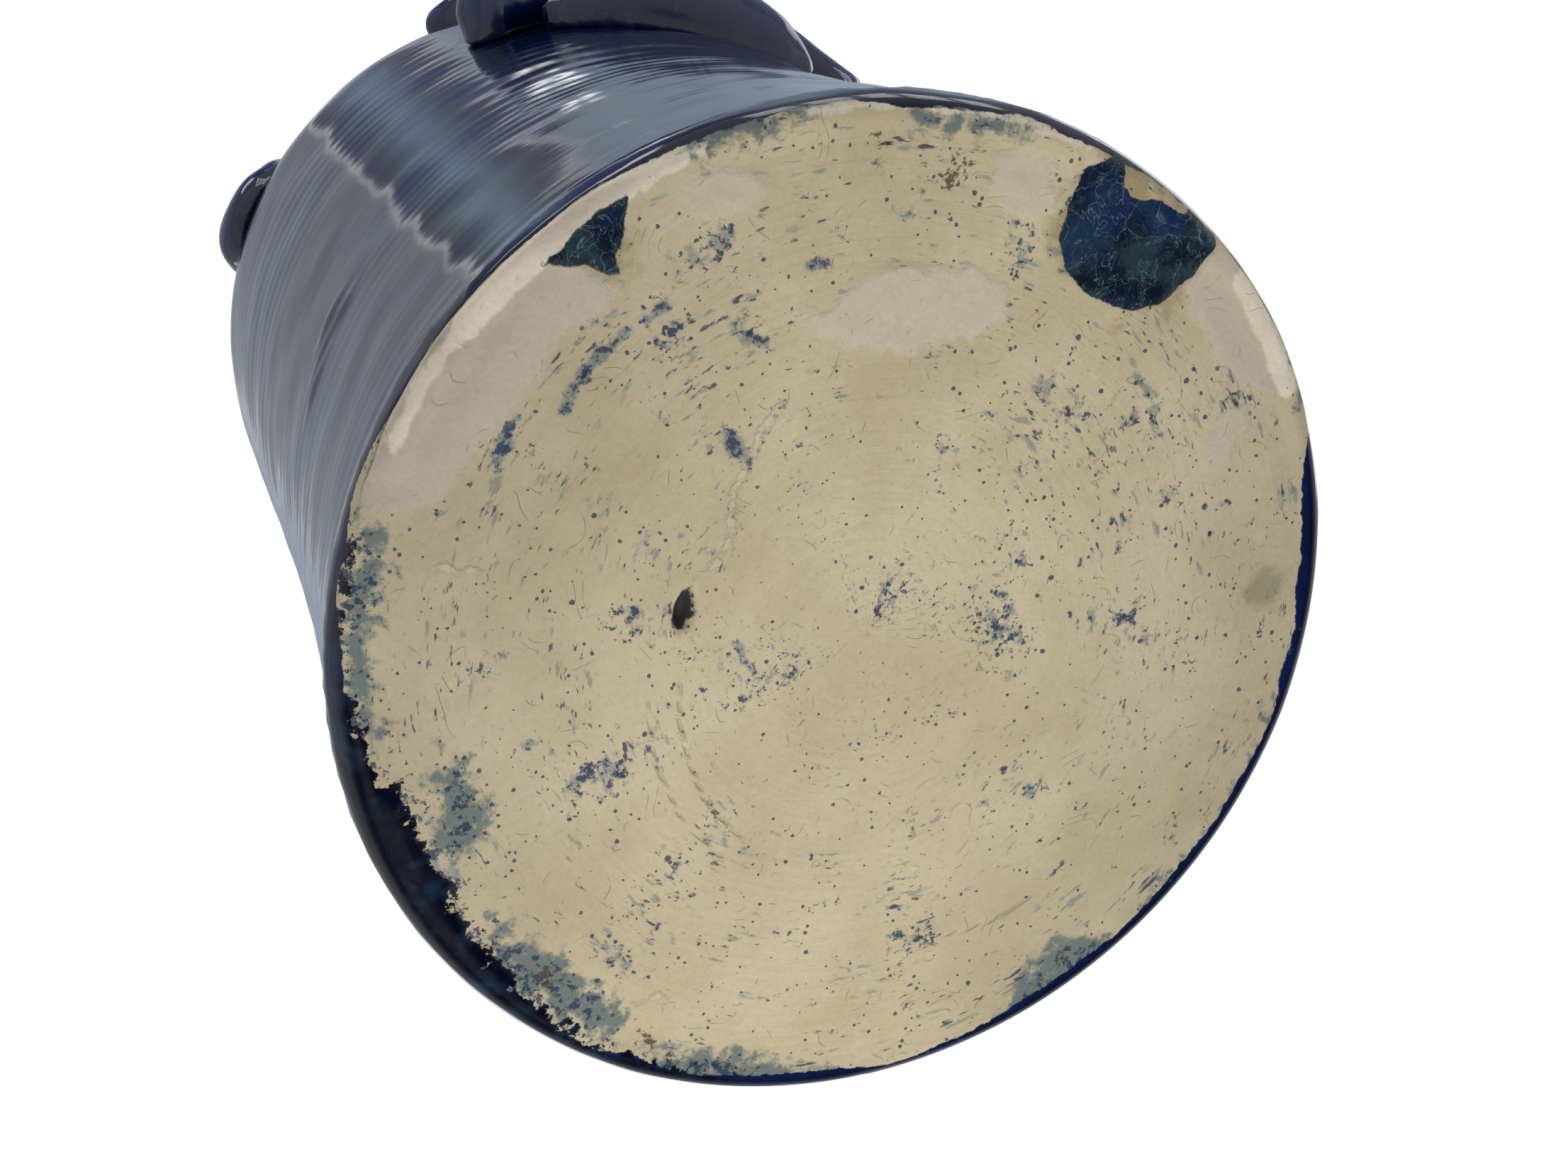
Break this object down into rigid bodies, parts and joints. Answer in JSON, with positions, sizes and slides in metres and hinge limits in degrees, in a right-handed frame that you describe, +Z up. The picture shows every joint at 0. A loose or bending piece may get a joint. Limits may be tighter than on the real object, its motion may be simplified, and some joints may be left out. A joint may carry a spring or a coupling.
{
  "type": "face jug",
  "caption": "Wheel-thrown stoneware jug with a short necked mouth, a pulled strap handle at the back and an applied clay face with ears, teeth and eyes, in dark blue glaze over a bare foot",
  "frame": {"origin": "middle of the flat underside of the foot, on the surface that the jug stands on", "axes": "+Z up along the jug's axis, -Y the way the face looks, +Y the handle, +X the jug's own left"},
  "size_m": [0.1306, 0.1633, 0.238],
  "materials": {
    "cobalt_glaze": "glossy dark cobalt blue glaze over stoneware, bare buff clay under the foot",
    "white_clay": "off-white clay, thinly glazed",
    "dark_slip": "near-black slip"
  },
  "bodies": {
    "root": {"body": "cobalt_glaze", "handle": "cobalt_glaze", "left_ear": "cobalt_glaze", "right_ear": "cobalt_glaze", "nose": "cobalt_glaze", "left_brow": "cobalt_glaze", "right_brow": "cobalt_glaze", "left_upper_lid": "cobalt_glaze", "right_upper_lid": "cobalt_glaze", "left_lower_lid": "cobalt_glaze", "right_lower_lid": "cobalt_glaze", "upper_lip": "cobalt_glaze", "lower_lip": "cobalt_glaze", "chin": "cobalt_glaze", "left_eyeball": "white_clay", "right_eyeball": "white_clay", "upper_tooth_1": "white_clay", "upper_tooth_2": "white_clay", "upper_tooth_3": "white_clay", "upper_tooth_4": "white_clay", "upper_tooth_5": "white_clay", "lower_tooth_1": "white_clay", "lower_tooth_2": "white_clay", "lower_tooth_3": "white_clay", "lower_tooth_4": "white_clay", "lower_tooth_5": "white_clay", "left_pupil": "dark_slip", "right_pupil": "dark_slip"}
  },
  "joints": []
}
